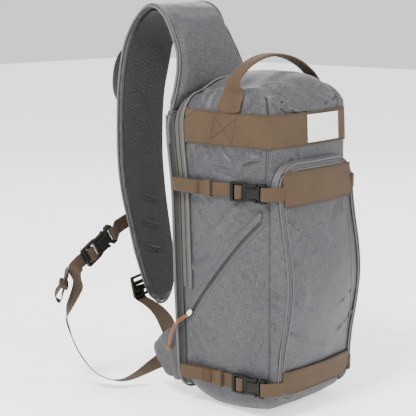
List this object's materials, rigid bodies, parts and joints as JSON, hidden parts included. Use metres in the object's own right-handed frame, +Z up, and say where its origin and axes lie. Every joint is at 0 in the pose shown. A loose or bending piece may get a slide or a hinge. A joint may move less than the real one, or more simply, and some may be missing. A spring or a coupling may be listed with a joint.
{
  "type": "sling pack",
  "caption": "Sling pack with one padded shoulder strap, a bellows front pocket, webbing side straps with side-release buckles, a haul handle and a stabilizer strap",
  "frame": {"origin": "the underside of the crest of the shoulder strap's loop, where the pack hangs from a shoulder", "axes": "+X to the right as seen from the front, -Y front of the pack, +Y towards the wearer, +Z up"},
  "size_m": [0.3246, 0.4041, 0.6138],
  "materials": {
    "cloth": "woven, satin",
    "mesh": "spacer mesh",
    "piping": "woven",
    "zip_tape": "woven tape",
    "webbing": "woven, matte",
    "buckle": "satin",
    "label": "woven, plain",
    "slider": "satin",
    "cord": "braided"
  },
  "bodies": {
    "root": {"body_shell": "cloth", "back_panel": "mesh", "back_piping": "piping", "main_zip": "zip_tape", "flap_piping": "piping", "top_band": "webbing", "label_patch": "label", "front_pocket": "cloth", "pocket_welt": "cloth", "upper_front_panel": "webbing", "lower_front_panel": "webbing", "haul_handle": "webbing", "side_zip": "zip_tape", "side_zip_welt": "cloth", "left_upper_buckle_socket": "buckle", "left_upper_buckle_plug": "buckle", "left_upper_strap": "webbing", "left_upper_keeper": "webbing", "left_upper_short_strap": "webbing", "left_lower_buckle_socket": "buckle", "left_lower_buckle_plug": "buckle", "left_lower_strap": "webbing", "left_lower_keeper": "webbing", "left_lower_short_strap": "webbing", "right_upper_buckle_socket": "buckle", "right_upper_buckle_plug": "buckle", "right_upper_strap": "webbing", "right_upper_keeper": "webbing", "right_upper_short_strap": "webbing", "right_lower_buckle_socket": "buckle", "right_lower_buckle_plug": "buckle", "right_lower_strap": "webbing", "right_lower_keeper": "webbing", "right_lower_short_strap": "webbing", "sling_strap": "cloth", "strap_lining": "mesh", "strap_piping": "piping", "strap_loop": "piping", "wing": "cloth", "ladder_lock": "buckle", "lower_webbing": "webbing", "stabilizer_buckle_socket": "buckle", "stabilizer_buckle_plug": "buckle", "stabilizer_stub": "webbing", "stabilizer_webbing": "webbing", "stabilizer_tail": "webbing", "stabilizer_keeper": "webbing", "zip_slider": "slider", "zip_pull_cord": "cord", "zip_pull_cord_return": "cord", "zip_pull_hitch": "cord", "zip_pull_knot": "cord"}
  },
  "joints": []
}
